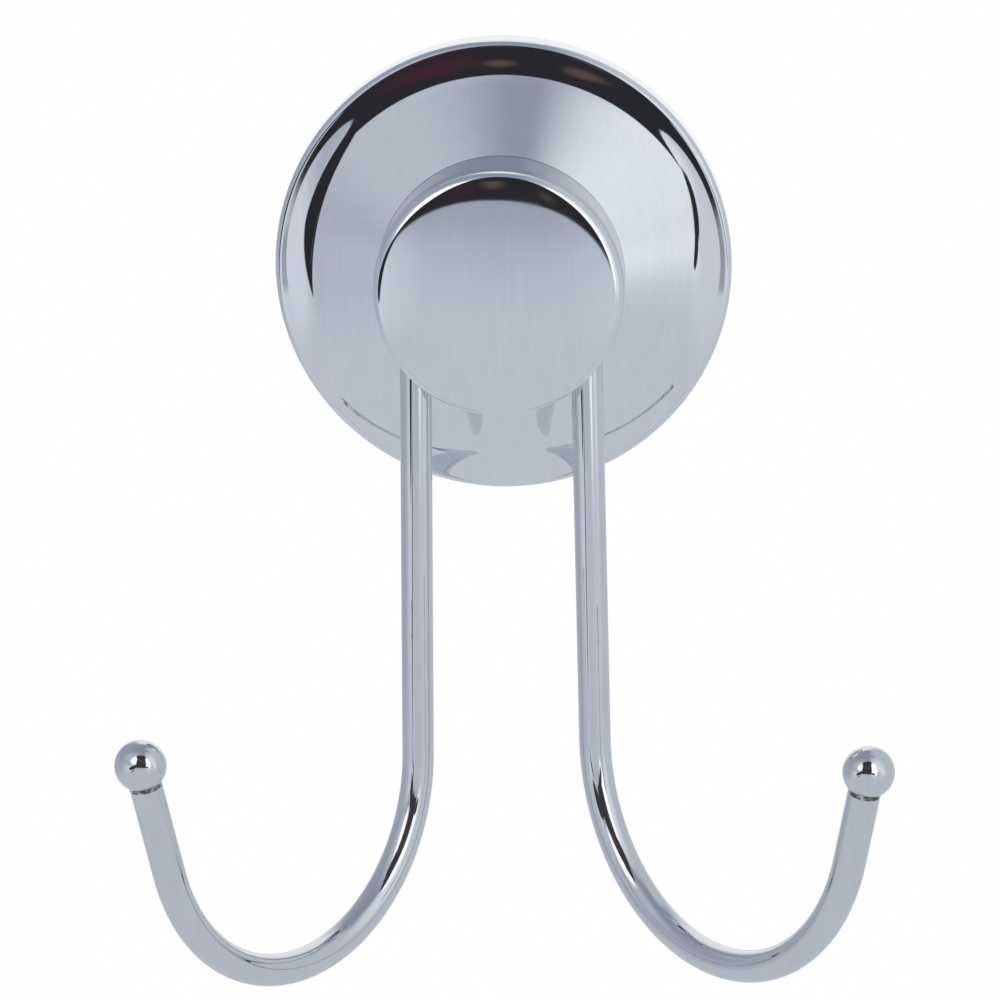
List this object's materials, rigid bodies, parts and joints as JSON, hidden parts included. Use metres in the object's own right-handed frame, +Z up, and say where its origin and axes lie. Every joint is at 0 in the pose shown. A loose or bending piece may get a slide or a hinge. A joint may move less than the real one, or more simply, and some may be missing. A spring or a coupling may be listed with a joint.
{
  "type": "double robe hook",
  "caption": "Wall-fixed robe hook: round bell flange with a central boss and cap, and a bent rod that ends in two forward hooks with ball tips.",
  "frame": {"origin": "on the flange's axis, in the plane of the wall that the bracket is screwed to", "axes": "+Y into the wall, -Y out of the wall towards the user, +Z up, +X to the right seen from the front"},
  "size_m": [0.1218, 0.0774, 0.1468],
  "materials": {
    "polished_chrome": "polished chrome plate on a spun or cast part, mirror bright with faint polishing waves",
    "chrome_wire": "polished chrome plate on drawn rod, mirror bright",
    "zinc_steel": "satin zinc-plated steel",
    "screw_steel": "bright zinc-plated steel screws and washers"
  },
  "bodies": {
    "root": {"wall_bracket": "zinc_steel", "flange": "polished_chrome", "top_lug": "zinc_steel", "grub_bush": "zinc_steel", "grub_screw": "screw_steel", "boss": "polished_chrome", "wire_clamp": "zinc_steel", "clamp_screw": "screw_steel", "seat_screws": "screw_steel", "seat_washers": "screw_steel", "hook_wire": "chrome_wire", "ball_left": "chrome_wire", "ball_right": "chrome_wire", "cap": "polished_chrome"}
  },
  "joints": []
}
